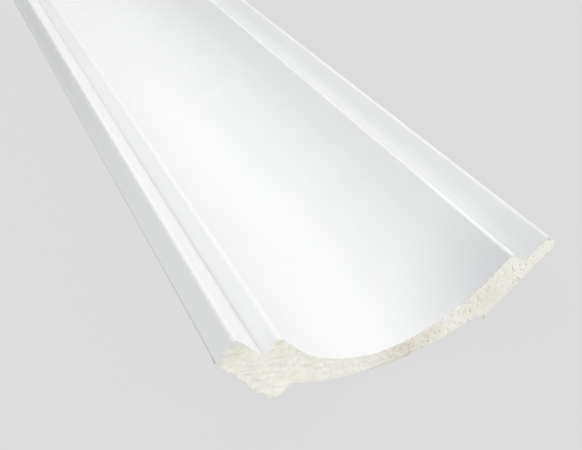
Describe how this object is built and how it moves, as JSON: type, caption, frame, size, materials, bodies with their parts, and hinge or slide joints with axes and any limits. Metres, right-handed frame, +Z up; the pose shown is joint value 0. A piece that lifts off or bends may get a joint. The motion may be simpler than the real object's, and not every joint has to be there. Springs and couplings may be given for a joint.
{
  "type": "cornice moulding",
  "caption": "Length of rigid foam cove cornice with a white coated face, a stepped fillet along each edge and flat bearing faces for wall and ceiling.",
  "frame": {"origin": "on the surface it lies on, under the middle of the bounding box", "axes": "+Y along the length, away from the cut end that the picture shows; +X from the wall edge to the ceiling edge; +Z up, out of the face"},
  "size_m": [0.15, 0.5, 0.0367],
  "materials": {
    "white_coat": "smooth satin white coat on the face; the cut ends and the back are raw cream foam of the same piece"
  },
  "bodies": {
    "root": {"cornice_moulding": "white_coat"}
  },
  "joints": []
}
